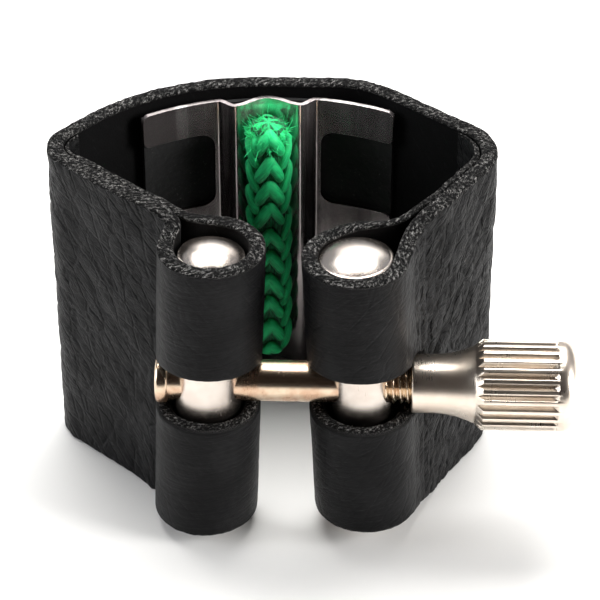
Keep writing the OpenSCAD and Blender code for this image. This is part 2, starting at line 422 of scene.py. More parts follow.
@dataclass(frozen=True)
class FloorFinish:
    """A plain pale sweep, a little mottled."""

    colour: Colour = (0.86, 0.86, 0.855)

    def material(self) -> bpy.types.Material:
        """The floor: matt, with a barely seen unevenness."""
        g = Graph.material("pale floor")
        patch = g.noise(g.place(), 40.0 * MM, 2.0)
        return g.surface(Base_Color=g.mixed(patch, self.colour, shaded(self.colour, 0.985)),
                         Roughness=0.75 + patch * 0.1, Specular_IOR_Level=0.1)


STEEL = MetalFinish("post nickel", (0.73, 0.66, 0.60), (0.66, 0.575, 0.515), 0.18, (1.0, 1.0, 0.05),
                    frost=9.0)
BRASS = MetalFinish("bolt brass", (0.74, 0.60, 0.45), (0.58, 0.38, 0.26), 0.2, (1.0, 0.06, 0.06), frost=2.0)
CHAMPAGNE = MetalFinish("nut nickel", (0.87, 0.775, 0.675), (0.81, 0.695, 0.59), 0.25, (1.0, 0.05, 0.05),
                        marks_size=0.11, marks_depth=0.0000035, frost=1.2)
# The plate nickel is darkened towards its bottom as painted shade.
SHEET = MetalFinish("plate nickel", (0.66, 0.625, 0.615), (0.52, 0.455, 0.46), 0.13, (1.0, 1.0, 0.04),
                    metallic=0.88, shade_below=22.0)


# ---------------------------------------------------------------- surfaces


@dataclass
class Surface:
    """Points in millimetres, the faces between them and the values they carry.

    Coincident points are welded when the mesh is made, so a seam keeps one UV value on each side.
    """

    points: Array
    uv: Array
    faces: list[Array]
    values: dict[str, Array] = field(default_factory=dict)
    normals: Array | None = None

    @classmethod
    def grid(cls, points: Array, uv: Array | None = None, flip: bool = False,
             keep: Array | None = None, **values: Array) -> "Surface":
        """A rows by columns grid of four-cornered faces.

        Each face joins point (i, j) to its neighbours in the next row and column. Its normal is
        the row direction crossed with the column direction, or the opposite with flip.

        Args:
            points: rows x columns x 3.
            uv: rows x columns x 2, or None for zeros.
            flip: turns the faces over.
            keep: (rows - 1) x (columns - 1), false where a face is left out.
            values: rows x columns arrays carried by the points.

        Returns:
            The surface.
        """
        rows, cols = points.shape[:2]
        at = np.arange(rows * cols).reshape(rows, cols)
        corners = [at[:-1, :-1], at[1:, :-1], at[1:, 1:], at[:-1, 1:]]
        quads = np.stack(corners[::-1] if flip else corners, axis=-1)
        quads = quads[keep] if keep is not None else quads.reshape(-1, 4)
        flat = np.zeros((rows * cols, 2)) if uv is None else uv.reshape(-1, 2)
        return cls(points.reshape(-1, 3), flat, [quads],
                   {name: np.broadcast_to(v, (rows, cols)).reshape(-1).astype(float)
                    for name, v in values.items()})

    @classmethod
    def joined(cls, parts: Sequence["Surface"]) -> "Surface":
        """Several surfaces as one. A value that a part lacks is 0 there."""
        starts = np.cumsum([0] + [len(p.points) for p in parts])
        names = sorted({name for p in parts for name in p.values})
        normals = None
        if all(p.normals is not None for p in parts):
            normals = np.concatenate([p.normals for p in parts])
        return cls(
            np.concatenate([p.points for p in parts]), np.concatenate([p.uv for p in parts]),
            [f + start for p, start in zip(parts, starts) for f in p.faces],
            {name: np.concatenate([p.values.get(name, np.zeros(len(p.points))) for p in parts])
             for name in names}, normals)

    def welded(self) -> tuple[Array, Array]:
        """The first point of each welded group, and the group of each point."""
        keys = np.round(self.points / (WELD_STEP / MM)).astype(np.int64)
        _, first, group = np.unique(keys, axis=0, return_index=True, return_inverse=True)
        return first, group.reshape(-1)

    def with_smooth_normals(self) -> "Surface":
        """Fills normals with the area-weighted mean of the faces round each welded point."""
        first, group = self.welded()
        total = np.zeros((len(first), 3))
        for quads in (f for f in self.faces if f.shape[1] == 4):
            a, b, c, d = (self.points[quads[:, k]] for k in range(4))
            normal = np.cross(c - a, d - b)
            for k in range(4):
                np.add.at(total, group[quads[:, k]], normal)
        length = np.linalg.norm(total, axis=1, keepdims=True)
        self.normals = (total / np.maximum(length, 1e-12))[group]
        return self

    def clean_faces(self, group: Array) -> list[Array]:
        """The faces without the corners that welding made equal: quads, triangles and larger ones."""
        kept: list[Array] = []
        for faces in self.faces:
            if faces.shape[1] != 4:
                kept.append(faces)
                continue
            same = group[faces] == group[np.roll(faces, -1, axis=1)]
            opposite = (group[faces[:, 0]] == group[faces[:, 2]]) | (group[faces[:, 1]] == group[faces[:, 3]])
            count = same.sum(axis=1)
            kept.append(faces[(count == 0) & ~opposite])
            narrow = (count == 1) & ~opposite
            drop = np.argmax(same[narrow], axis=1)[:, None]
            order = (drop + 1 + np.arange(3)[None, :]) % 4
            kept.append(np.take_along_axis(faces[narrow], order, axis=1))
        return [f for f in kept if len(f)]

    def mesh_object(self, name: str, material: bpy.types.Material, sharp: float = 50.0) -> bpy.types.Object:
        """Writes the surface to a mesh object at the origin.

        Args:
            name: the object's name.
            material: its material.
            sharp: edges that bend more than this many degrees are drawn sharp.

        Returns:
            The object.
        """
        first, group = self.welded()
        faces = self.clean_faces(group)
        used = np.unique(np.concatenate([group[f].reshape(-1) for f in faces]))
        first, group = first[used], np.searchsorted(used, group)
        mesh = bpy.data.meshes.new(name)
        mesh.from_pydata((self.points[first] * MM).tolist(), [],
                         [row for f in faces for row in group[f].tolist()])
        corners = np.concatenate([f.reshape(-1) for f in faces])
        layer = mesh.uv_layers.new(name="strip")
        layer.data.foreach_set("uv", self.uv[corners].astype(np.float32).ravel())
        for key, value in self.values.items():
            carried = mesh.attributes.new(key, "FLOAT", "POINT")
            carried.data.foreach_set("value", value[first].astype(np.float32))
        mesh.shade_smooth()
        mesh.set_sharp_from_angle(angle=math.radians(sharp))
        if self.normals is not None:
            mesh.normals_split_custom_set(self.normals[corners].tolist())
        mesh.materials.append(material)
        made = bpy.data.objects.new(name, mesh)
        bpy.context.scene.collection.objects.link(made)
        return made


def dressed(piece: bpy.types.Object, body: Body, slot: str, *nodes: str) -> bpy.types.Object:
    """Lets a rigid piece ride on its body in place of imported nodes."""
    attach(piece, body.value)
    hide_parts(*nodes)
    log.info("%s: %d faces, rides on %s, stands for %s", piece.name, len(piece.data.polygons),
             body.value, ", ".join(nodes))
    return piece


def smoothstep(low: float, high: float, x: Array) -> Array:
    """0 below low, 1 above high, and the cubic 3t^2 - 2t^3 between."""
    t = np.clip((x - low) / (high - low), 0.0, 1.0)
    return t * t * (3.0 - 2.0 * t)


def lattice(i: Array, j: Array, seed: int) -> Array:
    """A repeatable random number from 0 to 1 for each pair of whole numbers."""
    mixed = (i.astype(np.int64) * 374761393 + j.astype(np.int64) * 668265263 + seed * 2147483647) & 0xFFFFFFFF
    mixed = ((mixed ^ (mixed >> 13)) * 1274126177) & 0xFFFFFFFF
    mixed = ((mixed ^ (mixed >> 16)) * 2246822519) & 0xFFFFFFFF
    return ((mixed ^ (mixed >> 15)) & 0xFFFFFF) / float(0xFFFFFF)


def soft_noise(x: Array, y: Array, seed: int, octaves: int = 3) -> Array:
    """Smooth noise from -1 to 1: lattice values joined by smoothsteps, each octave half as large."""
    total, weight = np.zeros(np.broadcast(x, y).shape), 0.0
    for octave in range(octaves):
        scale, share = 2.0 ** octave, 0.5 ** octave
        px, py = x * scale, y * scale
        i, j = np.floor(px), np.floor(py)
        fx, fy = smoothstep(0.0, 1.0, px - i), smoothstep(0.0, 1.0, py - j)
        low = lattice(i, j, seed + octave) * (1 - fx) + lattice(i + 1, j, seed + octave) * fx
        high = lattice(i, j + 1, seed + octave) * (1 - fx) + lattice(i + 1, j + 1, seed + octave) * fx
        total += share * (2.0 * (low * (1 - fy) + high * fy) - 1.0)
        weight += share
    return total / weight


def creases(x: Array, y: Array, seed: int) -> Array:
    """1 on the borders between random cells of about one unit, falling to 0 inside them.

    The border is where the distances to the nearest and second nearest cell points are equal.
    """
    i, j = np.floor(x), np.floor(y)
    near, second = np.full(x.shape, 9.0), np.full(x.shape, 9.0)
    for di in (-1, 0, 1):
        for dj in (-1, 0, 1):
            cx = i + di + lattice(i + di, j + dj, seed)
            cy = j + dj + lattice(i + di, j + dj, seed + 17)
            gap = np.hypot(x - cx, y - cy)
            second = np.minimum(second, np.maximum(near, gap))
            near = np.minimum(near, gap)
    return np.exp(-(second - near) / 0.12)


@dataclass
class Path:
    """A plan line: arc length, place and heading at each station, and where each corner's arc lies."""

    s: Array
    xy: Array
    heading: Array
    arcs: list[tuple[float, float]]

    @classmethod
    def rounded(cls, corners: Array, radii: Sequence[float], step: float) -> "Path":
        """Straight runs between corners, each corner rounded by an arc tangent to both runs.

        Args:
            corners: n x 2 places, the first and last being the ends.
            radii: the n - 2 radii of the corners between.
            step: the distance between stations.

        Returns:
            The path.
        """
        runs = np.diff(corners, axis=0)
        angle = np.unwrap(np.arctan2(runs[:, 1], runs[:, 0]))
        turn = np.diff(angle)
        cut = np.asarray(radii) * np.tan(np.abs(turn) / 2)
        lengths = np.linalg.norm(runs, axis=1)
        xs, headings, arcs, s = [corners[:1]], [angle[:1]], [], 0.0
        for k, bend in enumerate(turn):
            unit = runs[k] / lengths[k]
            start = corners[k + 1] - unit * cut[k]
            s += float(np.linalg.norm(start - xs[-1][-1]))
            normal = np.array([-unit[1], unit[0]]) * np.sign(bend)
            sweep = np.linspace(0.0, abs(bend), max(3, int(abs(bend) / 0.01)))[:, None]
            arc = start + radii[k] * (np.sin(sweep) * unit + (1.0 - np.cos(sweep)) * normal)
            xs.append(arc)
            headings.append(angle[k] + np.sign(bend) * sweep[:, 0])
            arcs.append((s, s + radii[k] * abs(bend)))
            s += radii[k] * abs(bend)
        xs.append(corners[-1:])
        headings.append(angle[-1:])
        dense, turned = np.concatenate(xs), np.concatenate(headings)
        along = np.concatenate([[0.0], np.cumsum(np.linalg.norm(np.diff(dense, axis=0), axis=1))])
        even = np.linspace(0.0, along[-1], int(round(along[-1] / step)) + 1)
        place = np.stack([np.interp(even, along, dense[:, k]) for k in (0, 1)], axis=1)
        return cls(even, place, np.interp(even, along, turned), arcs)


def meeting(p: Array, u: Array, q: Array, v: Array) -> Array:
    """The point where the line through p along u meets the line through q along v."""
    a, _ = np.linalg.solve(np.stack([u, -v], axis=1), q - p)
    return p + a * u


def direction(degrees: float) -> Array:
    """The unit vector at an angle from +X in plan."""
    return np.array([math.cos(math.radians(degrees)), math.sin(math.radians(degrees))])


def unit_run(a: Array, b: Array) -> Array:
    """The unit vector from a to b."""
    return (b - a) / np.linalg.norm(b - a)


def inward(a: Array, b: Array) -> Array:
    """The unit normal on the right of the run from a to b."""
    u = unit_run(a, b)
    return np.array([u[1], -u[0]])


def lathe(profile: Array, columns: int, lean: float, centre: Colour) -> Surface:
    """A profile of (radius, height) turned round a leaning upright axis.

    Args:
        profile: n x 2, from the lower pole to the upper one.
        columns: the number of faces round it.
        lean: how far its top leans towards +X, in degrees.
        centre: the point of the axis at height 0.

    Returns:
        The closed surface, with UV of (distance round, height).
    """
    angle = np.linspace(0.0, 2.0 * np.pi, columns + 1)[None, :]
    radius, height = profile[:, :1], profile[:, 1:]
    x, y, z = radius * np.cos(angle), radius * np.sin(angle), height + 0.0 * angle
    a = math.radians(lean)
    points = np.stack([x * math.cos(a) + z * math.sin(a), y, z * math.cos(a) - x * math.sin(a)], axis=-1)
    uv = np.stack([angle * radius.max() + 0.0 * z, z], axis=-1)
    return Surface.grid(points + np.asarray(centre), uv, flip=True)


def along_bolt(points: Array) -> Array:
    """Puts points given as (distance along the bolt, radius, angle) on the bolt's axis.

    The angle turns from +Y towards +Z, which is right-handed about +X.
    """
    x, radius, angle = points[..., 0], points[..., 1], points[..., 2]
    return np.stack([x, BOLT_Y + radius * np.cos(angle), BOLT_Z + radius * np.sin(angle)], axis=-1)


# ---------------------------------------------------------------- the leather strap


@dataclass
class LeatherStrap:
    """The one strip of leather: a flap, a loop, six straight runs, a loop and a flap.

    Its section is two rings, one under and one over the bolt slots. Where there is no slot the
    rings touch and are welded.
    """

    height: float = 30.0
    thick: float = 1.5
    loop_thick: float = 1.35
    flap_thick: float = 0.7
    flap_depth: float = 1.97
    left_flap: float = 2.3
    right_flap: float = 3.4
    tip_thick: float = 0.08
    skive_len: float = 5.0
    loop_mid_r: float = 3.77
    fold_r: float = 2.6
    crease_r: float = 1.0
    hollow_r: float = 13.0
    slot_angles: tuple[float, ...] = (0.0, 60.0, 95.0)
    slot_halves: tuple[float, ...] = (2.5, 2.42, 2.0)
    slot_close: float = 26.0
    neck_clear_r: float = 2.62
    left_drop: float = 1.3
    right_drop: float = 2.05
    step: float = 0.3
    columns: int = 44
    edge_columns: int = 9
    lip_columns: int = 5
    edge_round: float = 0.32
    corners: Array = field(default_factory=lambda: np.array([
        [-7.84, -10.41], [-20.3, 0.5], [-10.15, 12.45], [8.4, 12.85], [21.2, 2.15], [15.06, -7.8]]))
    corner_r: tuple[float, ...] = (3.7, 20.0, 9.0, 5.2)
    left_enter: float = 105.0
    left_sweep: float = 310.0
    right_enter: float = -17.0
    right_sweep: float = 263.0
    bend_start: tuple[float, float] = (7.10, -6.46)
    bend_end: tuple[float, float] = (10.36, -9.42)
    seam_outer: float = 1.5
    seam_flap: float = 0.9

    def inset(self, k: int, depth: float) -> Array:
        """Corner k moved inwards by depth from both of its runs."""
        m, n = inward(*self.corners[k - 1:k + 1]), inward(*self.corners[k:k + 2])
        return self.corners[k] + depth * (m + n) / (1.0 + m @ n)

    def loop_corners(self, x: float, enter: float, sweep: float) -> Array:
        """The corners of the four tangents whose rounding is the loop's circle, clockwise."""
        part = sweep / 4
        reach = self.loop_mid_r / math.cos(math.radians(part / 2))
        middle = np.array([x, BOLT_Y])
        return np.array([middle + reach * direction(enter - part * (k + 0.5)) for k in range(4)])

    def path(self) -> Path:
        """The middle line of the leather in plan, from the left flap's tip to the right flap's."""
        mid, deep, c = self.thick / 2, self.flap_depth, self.corners
        left, right = np.array([LEFT_X, BOLT_Y]), np.array([RIGHT_X, BOLT_Y])
        front_l, front_r = unit_run(c[0], c[1]), unit_run(c[4], c[5])
        in_l, in_r = inward(c[0], c[1]), inward(c[4], c[5])
        leave_l = self.left_enter - self.left_sweep
        leave_r = self.right_enter - self.right_sweep

        def tangent(front: Array, run: Array, post: Array, at: float) -> Array:
            """Where a front run meets the loop's tangent at an angle."""
            return meeting(front, run, post + self.loop_mid_r * direction(at), direction(at - 90))

        into_loop = tangent(c[0] + deep * in_l, front_l, left, self.left_enter)
        crease = tangent(c[0] + mid * in_l, front_l, left, leave_l)
        hollow = tangent(c[5] + mid * in_r, front_r, right, self.right_enter)
        back = tangent(c[5] + deep * in_r, front_r, right, leave_r)
        tip_l = self.inset(1, deep) + self.left_flap * unit_run(c[1], c[2])
        tip_r = self.inset(4, deep) + self.right_flap * unit_run(c[4], c[3])
        places = np.vstack([
            tip_l, self.inset(1, deep), into_loop,
            self.loop_corners(LEFT_X, self.left_enter, self.left_sweep), crease,
            *[self.inset(k, mid) for k in (1, 2, 3, 4)], hollow,
            self.loop_corners(RIGHT_X, self.right_enter, self.right_sweep), back, self.inset(4, deep), tip_r])
        radii = [self.corner_r[0] - deep, self.fold_r, *[self.loop_mid_r] * 4, self.crease_r,
                 *[r - mid for r in self.corner_r], self.hollow_r, *[self.loop_mid_r] * 4, self.fold_r,
                 self.corner_r[3] - deep]
        return Path.rounded(places, radii, self.step)

    def thickness(self, path: Path) -> Array:
        """The leather's thickness at each station: skived flaps, slightly drawn loops, full walls."""
        s, arcs = path.s, path.arcs
        return np.interp(s, [
            0.0, self.skive_len, arcs[1][0] - 0.5, arcs[2][0] + 0.6, arcs[6][0], arcs[6][1] + 2.0,
            arcs[11][0] - 2.0, arcs[11][1], arcs[16][0] - 2.2, arcs[16][0] + 0.6,
            s[-1] - self.skive_len, s[-1]],
            [self.tip_thick, self.flap_thick, self.flap_thick, self.loop_thick, self.loop_thick,
             self.thick, self.thick, self.loop_thick, self.loop_thick, self.flap_thick,
             self.flap_thick, self.tip_thick])

    def drop(self, path: Path) -> Array:
        """How far the strap's two edges draw in at each station, which is deepest on the loops."""
        s, arcs = path.s, path.arcs
        marks = [arcs[1][0] - 1.5, arcs[2][0] + 1.0, arcs[5][1] - 1.2, arcs[6][1] + 1.3,
                 arcs[11][0] - 1.2, arcs[11][1] + 2.2, arcs[16][0] - 4.0, arcs[16][1] + 0.8]
        drops = [0.25, self.left_drop, self.left_drop, 0.0, 0.0, self.right_drop, self.right_drop, 0.25]
        return np.interp(s, marks, drops)

    def slot(self, path: Path) -> tuple[Array, Array]:
        """The middle and half height of the bolt slot at each station, 0 where there is none.

        Round each post the slot is a lens: its half height follows slot_halves at slot_angles from
        the front, then a quarter ellipse closes it over slot_close degrees. On the right loop's outer
        side it is also a circle round the bolt, at the nut's neck.
        """
        arcs, s = path.arcs, path.s
        half, middle = np.zeros_like(s), np.full_like(s, BOLT_Z)
        for x, first, last in ((LEFT_X, 2, 5), (RIGHT_X, 12, 15)):
            round_post = (s > arcs[first][0] - 0.01) & (s < arcs[last][1] + 0.01)
            around = np.degrees(np.arctan2(path.xy[:, 1] - BOLT_Y, path.xy[:, 0] - x))
            off = np.abs((around + 90.0 + 180.0) % 360.0 - 180.0)
            lens = np.interp(off, self.slot_angles, self.slot_halves)
            lens *= np.sqrt(1.0 - np.clip((off - self.slot_angles[-1]) / self.slot_close, 0.0, 1.0) ** 2)
            half = np.where(round_post, np.maximum(half, lens), half)
            raised = BOLT_Z + 0.4 * np.clip(np.cos(np.radians(off)), 0.0, 1.0)
            middle = np.where(round_post, raised, middle)
        outer_side = (s > arcs[10][1]) & (s < arcs[12][1]) & (path.xy[:, 0] > RIGHT_X + 2.0)
        neck = np.sqrt(np.maximum(self.neck_clear_r ** 2 - (path.xy[:, 1] - BOLT_Y) ** 2, 0.0))
        half = np.where(outer_side, np.maximum(half * (path.xy[:, 1] < BOLT_Y), neck), half)
        return middle, np.where(half > 0.15, half, 0.0)

    def smooth_share(self, path: Path) -> Array:
        """1 on the drawn loops, where the grain is stretched flat, and 0 on the walls."""
        s, arcs = path.s, path.arcs
        left = smoothstep(arcs[1][0], arcs[2][0], s) \
            * (1.0 - smoothstep(arcs[6][0] - 1.0, arcs[6][1] + 0.6, s))
        right = smoothstep(arcs[11][0], arcs[12][0] + 1.5, s) \
            * (1.0 - smoothstep(arcs[16][0] - 2, arcs[16][1], s))
        return np.clip(left + right, 0.0, 1.0)

    def right_share(self, path: Path) -> Array:
        """0 on the strap's left half and 1 on its right half, turning over across the back."""
        return smoothstep(path.arcs[8][0] + 4.0, path.arcs[9][1], path.s) \
            * (1.0 - smoothstep(path.arcs[16][1], path.arcs[17][0], path.s))

    @staticmethod
    def slanted_grain(s: Array, z: Array, turn: float, seed: int) -> Array:
        """Cells and long folds drawn out along a slant of turn degrees from the strap's length."""
        c, w = math.cos(math.radians(turn)), math.sin(math.radians(turn))
        warp = 0.35 * soft_noise(s / 2.2, z / 2.2, seed + 5)
        along, across = s * c + z * w, z * c - s * w + warp
        grain = -0.12 * creases(along / 3.6, across / 1.7, seed) \
            - 0.05 * creases(along / 1.6, across / 0.85, seed + 1)
        folds = -0.14 * np.clip(soft_noise(along / 6.5, across / 1.3, seed + 2) - 0.12, 0.0, 1.0)
        return grain + folds

    def relief(self, path: Path, z: Array) -> Array:
        """How far the grain side stands out, in millimetres.

        Slow undulation, creased borders of two sizes of cell drawn out on a slant, and upright
        wrinkles where the right wall turns into its loop and beside the left crease.
        """
        s = path.s[:, None]
        calm, right = self.smooth_share(path)[:, None], self.right_share(path)[:, None]
        grain = np.sqrt(1.0 - right) * self.slanted_grain(s, z, 52.0, 3) \
            + np.sqrt(right) * self.slanted_grain(s, z, -55.0, 9)
        waves = 0.1 * soft_noise(s / 5.0, z / 6.0, 5)
        loops = 0.02 * soft_noise(s / 2.4, z / 0.5, 11) + 0.035 * soft_noise(s / 3.0, z / 4.0, 31)
        arcs = path.arcs
        near_right = np.exp(-((s - (arcs[11][0] + arcs[11][1]) / 2) / 2.4) ** 2)
        near_left = np.exp(-((s - arcs[6][1] - 0.6) / 0.9) ** 2)
        wrinkle = np.sin(2 * np.pi * (s / 1.25 + 0.3 * soft_noise(s / 3.0, z / 4.0, 41)))
        upright = 0.12 * near_right * wrinkle * (0.6 + 0.6 * soft_noise(s / 3.0, z / 3.0, 43)) \
            + 0.06 * near_left * wrinkle
        return (1.0 - calm) * ((1.15 + 0.3 * right) * grain + waves) + calm * loops + upright

    def ring(self, path: Path, upper: bool) -> dict[str, Array]:
        """One ring of the section, carried along the path.

        Its columns run up the outer face, across to the flesh side, down it and back across. The
        free edge is half a flattened ellipse, and the slot's lip is rounded by a share of its height.

        Args:
            path: the middle line.
            upper: the ring over the slots, or the one under them.

        Returns:
            Columns of depth share, height, UV height, edge share, inner share and lip mask.
        """
        n, e, k = self.columns, self.edge_columns, self.lip_columns
        drop = self.drop(path)[:, None]
        middle, half = (v[:, None] for v in self.slot(path))
        fray = 0.05 * soft_noise(path.s[:, None] / 0.5, np.array([[0.5]]), 71 + upper)
        lip = middle + half if upper else middle - half
        rim = (self.height - drop + fray - self.edge_round) if upper else (drop + fray + self.edge_round)
        sign = 1.0 if upper else -1.0
        bulge = np.minimum(0.3, half * 0.4)
        along = np.linspace(0.0, 1.0, n)[None, :]
        brow = lip + sign * bulge
        outer_z = (brow + (rim - brow) * along) if upper else (rim + (brow - rim) * along)
        across = np.linspace(0.0, np.pi, e + 2)[None, 1:-1]
        c, w = np.cos(across), np.sin(across)
        edge_off = np.sign(c) * np.abs(c) ** 0.55 + 0.0 * lip
        edge_z = rim + sign * self.edge_round * w ** 0.55
        lip_place = np.linspace(1.0, -1.0, k + 2)[None, 1:-1]
        lip_z = lip + sign * bulge * (1.0 - (1.0 - lip_place ** 2) ** 0.5)
        ones, t = np.ones_like(outer_z), self.thickness(path)[:, None]
        inner_z = outer_z[:, ::-1]
        far = self.height + self.thick
        edge_v = (1.0 - edge_off) * t / 2
        if upper:
            parts = [(ones, outer_z, outer_z, 0, 0), (edge_off, edge_z, self.height + edge_v, 1, 0),
                     (-ones, inner_z, far + self.height - inner_z, 0, 1),
                     (-lip_place + 0 * lip, lip_z[:, ::-1], 70.0 + lip_place * 0.7 + 0 * lip, 1, 0),
                     (ones[:, :1], outer_z[:, :1], 71.0 + 0 * lip, 1, 0)]
        else:
            parts = [(ones, outer_z, outer_z, 0, 0),
                     (lip_place + 0 * lip, lip_z, 70.0 - lip_place * 0.7 + 0 * lip, 1, 0),
                     (-ones, inner_z, far + self.height - inner_z, 0, 1),
                     (-edge_off, edge_z, far + self.height + 1.0 + (1 + edge_off) * t / 2, 1, 0),
                     (ones[:, :1], outer_z[:, :1], far + self.height + 2.5 + 0 * lip, 1, 0)]
        out = {"off": np.hstack([p[0] for p in parts]), "z": np.hstack([p[1] for p in parts]),
               "v": np.hstack([p[2] for p in parts]),
               "edge": np.hstack([np.full(p[0].shape, float(p[3])) for p in parts]),
               "inner": np.hstack([np.full(p[0].shape, float(p[4])) for p in parts])}
        widths = np.cumsum([p[0].shape[1] for p in parts])
        lip_first = widths[2] if upper else widths[0]
        lip_cols = np.zeros(widths[-1] - 1, bool)
        lip_cols[lip_first - 1:lip_first + k] = True
        open_slot = (half[:-1, 0] > 0) | (half[1:, 0] > 0)
        out["keep"] = ~(lip_cols[None, :] & ~open_slot[:, None])
        return out

    def shell(self, path: Path) -> list[Surface]:
        """Both rings as grids: a point is the middle line plus its depth share of the thickness.

        The grain side also gets the relief, the flesh side and the cut edges a fine roughness, and
        each loop leans with its post by an amount that fades out away from the post. A skived tip
        keeps to the wall that it is glued to.
        """
        t = self.thickness(path)[:, None]
        hug = np.maximum(self.flap_thick - t, 0.0) / 2
        normal = np.stack([-np.sin(path.heading), np.cos(path.heading)], axis=1)
        made = []
        for upper in (False, True):
            r = self.ring(path, upper)
            off, z = r["off"], r["z"]
            s = path.s[:, None] + 0.0 * z
            rough = 0.02 * soft_noise(s / 0.45, r["v"] / 0.45, 61)
            grain = np.clip(off, 0.0, 1.0) ** 4
            offset = off * t / 2 - hug + grain * self.relief(path, z) + (1.0 - grain) * rough * np.abs(off)
            z = z + r["edge"] * 0.05 * soft_noise(s / 0.3, off / 0.4, 63) * (np.abs(off) < 0.98)
            plan = path.xy[:, None, :] + offset[..., None] * normal[:, None, :]
            x, y = plan[..., 0], plan[..., 1]
            for post_x, lean in ((LEFT_X, LEFT_LEAN), (RIGHT_X, RIGHT_LEAN)):
                gap = np.hypot(path.xy[:, :1] - post_x, path.xy[:, 1:] - BOLT_Y)
                x = x + (1.0 - smoothstep(5.0, 9.0, gap)) * math.tan(math.radians(lean)) * (z - BOLT_Z)
            calm = self.smooth_share(path)[:, None] + 0.0 * z
            made.append(Surface.grid(
                np.stack([x, y, np.clip(z, 0.0, self.height)], axis=-1), np.stack([s, r["v"]], axis=-1),
                flip=True, keep=r["keep"], edge=r["edge"], inner=r["inner"], smooth=calm,
                right=self.right_share(path)[:, None] + 0.0 * z))
        return made

    @staticmethod
    def rows_of(shell: Surface, columns: int, first: int, last: int) -> Surface:
        """The part of a ring between two stations, with a flat cap on each end."""
        quads, points = shell.faces[0], shell.points
        low, high = first * columns, (last + 1) * columns
        inside = quads[((quads >= low) & (quads < high)).all(axis=1)]
        picks, caps, normals, count = [np.arange(len(points))], [], [shell.normals], len(points)
        for row, inner_row, turned in ((first, first + 1, True), (last, last - 1, False)):
            loop = np.arange(row * columns, row * columns + columns - 1)
            away = (points[loop] - points[loop + (inner_row - row) * columns]).mean(axis=0)
            away[2] = 0.0
            caps.append((count + np.arange(len(loop)))[::-1 if turned else 1][None, :])
            picks.append(loop)
            normals.append(np.tile(away / np.linalg.norm(away), (len(loop), 1)))
            count += len(loop)
        pick = np.concatenate(picks)
        return Surface(points[pick], shell.uv[pick], [inside, *caps],
                       {name: v[pick] for name, v in shell.values.items()}, np.concatenate(normals))

    def build(self, material: bpy.types.Material) -> None:
        """Makes the strap and its right loop, which part at two upright seams, and dresses them."""
        path = self.path()
        rings = self.shell(path)
        counts = [len(r.points) // len(path.s) for r in rings]
        whole = Surface.joined(rings).with_smooth_normals()
        start = 0
        for r in rings:
            r.normals = whole.normals[start:start + len(r.points)]
            start += len(r.points)
        outer = int(np.argmin(np.abs(path.s - (path.arcs[11][0] - self.seam_outer))))
        flap = int(np.argmin(np.abs(path.s - (path.arcs[16][1] + self.seam_flap))))
        last = len(path.s) - 1
        log.info("strap: %d stations, seams at %s and %s", last + 1,
                 path.xy[outer].round(2), path.xy[flap].round(2))
        pieces = {"strap": [(0, outer), (flap, last)], "right_loop": [(outer, flap)]}
        made = {}
        for name, spans in pieces.items():
            parts = [self.rows_of(r, n, a, b) for a, b in spans for r, n in zip(rings, counts)]
            made[name] = Surface.joined(parts).mesh_object(name + "_leather", material)
        dressed(made["right_loop"], Body.RIGHT_CLAMP, "leather", "right_loop")
        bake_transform(made["strap"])
        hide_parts("strap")
        log.info("strap_leather: %d faces, bends from root to right_clamp",
                 len(made["strap"].data.polygons))


# ---------------------------------------------------------------- posts, bolt and nut


@dataclass
class Posts:
    """The two upright posts with low domes, the right one waisted where the bolt crosses it."""

    left_d: float = 5.6
    right_d: float = 6.2
    waist_d: float = 5.1
    waist_h: float = 12.0
    length: float = 25.2
    dome_h: float = 1.0
    rim_r: float = 0.3
    columns: int = 128

    def profile(self, d: float, waisted: bool) -> Array:
        """Radius and height from the lower pole to the upper: dome, rounded rim, shaft and back."""
        dome_r = (d * d / 4 + self.dome_h ** 2) / (2 * self.dome_h)
        reach = math.asin((d / 2 - self.rim_r * 0.75) / dome_r)
        g = np.linspace(0.0, reach, 26)
        top = self.length / 2 + self.dome_h
        dome = np.stack([dome_r * np.sin(g), top - dome_r * (1.0 - np.cos(g))], axis=1)
        h = np.linspace(reach, np.pi / 2, 7)[1:]
        centre = dome[-1] - self.rim_r * np.array([math.sin(reach), math.cos(reach)])
        centre[0] = d / 2 - self.rim_r
        rim = centre + self.rim_r * np.stack([np.sin(h), np.cos(h)], axis=1)
        cap = np.vstack([dome, rim])
        shaft_h = np.linspace(-rim[-1, 1] + 0.05, rim[-1, 1] - 0.05, 61)
        shaft_r = np.full_like(shaft_h, d / 2)
        if waisted:
            slope = np.clip((np.abs(shaft_h) - self.waist_h / 2), 0.0, 1.0)
            shaft_r = np.minimum(d / 2, self.waist_d / 2 + slope)
        lower = cap * np.array([1.0, -1.0])
        return np.vstack([lower, np.stack([shaft_r, shaft_h], axis=1), cap[::-1]])

    def build(self, material: bpy.types.Material) -> None:
        """Makes both posts and dresses them."""
        for name, x, d, lean, body in (("left_post", LEFT_X, self.left_d, LEFT_LEAN, Body.ROOT),
                                       ("right_post", RIGHT_X, self.right_d, RIGHT_LEAN, Body.RIGHT_CLAMP)):
            shape = lathe(self.profile(d, name == "right_post"), self.columns, lean, (x, BOLT_Y, BOLT_Z))
            dressed(shape.mesh_object(name + "_metal", material, 35.0), body, "post_metal", name)


